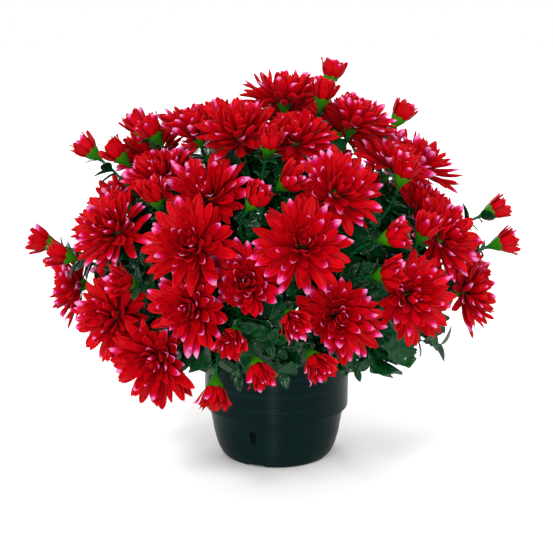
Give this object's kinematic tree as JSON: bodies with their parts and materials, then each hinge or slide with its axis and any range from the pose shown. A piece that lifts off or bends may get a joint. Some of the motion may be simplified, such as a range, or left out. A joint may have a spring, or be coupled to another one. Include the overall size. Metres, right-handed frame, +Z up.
{
  "type": "potted chrysanthemum",
  "caption": "Artificial pot chrysanthemum: a dome of layered red blooms with pink petal tips over lobed green leaves, in a plain dark plastic pot.",
  "frame": {"origin": "centre of the pot's foot, on the surface the pot stands on", "axes": "+Z up; -Y to the side seen in the picture; +X to the right in the picture, along the widest side"},
  "size_m": [0.4875, 0.4225, 0.4022],
  "materials": {
    "pot_plastic": "satin",
    "soil": "matte",
    "foliage": "satin",
    "petal": "satin"
  },
  "bodies": {
    "root": {"pot": "pot_plastic", "soil": "soil", "leafy_stem_01": "foliage", "leafy_stem_02": "foliage", "leafy_stem_03": "foliage", "leafy_stem_04": "foliage", "leafy_stem_05": "foliage", "leafy_stem_06": "foliage", "leafy_stem_07": "foliage", "leafy_stem_08": "foliage", "leafy_stem_09": "foliage", "leafy_stem_10": "foliage", "leafy_stem_top": "foliage", "bloom_01": "petal", "bloom_02": "petal", "bloom_03": "petal", "bloom_04": "petal", "bloom_05": "petal", "bloom_06": "petal", "bloom_07": "petal", "bloom_08": "petal", "bloom_09": "petal", "bloom_10": "petal", "bloom_11": "petal", "bloom_12": "petal", "bloom_13": "petal", "bloom_14": "petal", "bloom_15": "petal", "bloom_16": "petal", "bloom_17": "petal", "bloom_18": "petal", "bloom_19": "petal", "bloom_20": "petal", "bloom_21": "petal", "bloom_22": "petal", "bloom_23": "petal", "bloom_24": "petal", "bloom_25": "petal", "bloom_26": "petal", "bloom_27": "petal", "bloom_28": "petal", "bloom_29": "petal", "bloom_30": "petal", "bloom_31": "petal", "bloom_32": "petal", "bloom_33": "petal", "bloom_34": "petal", "bloom_35": "petal", "bloom_36": "petal", "bloom_37": "petal", "bloom_38": "petal", "bloom_39": "petal", "bloom_40": "petal", "bloom_41": "petal", "bloom_42": "petal", "bloom_43": "petal", "bloom_44": "petal"}
  },
  "joints": []
}
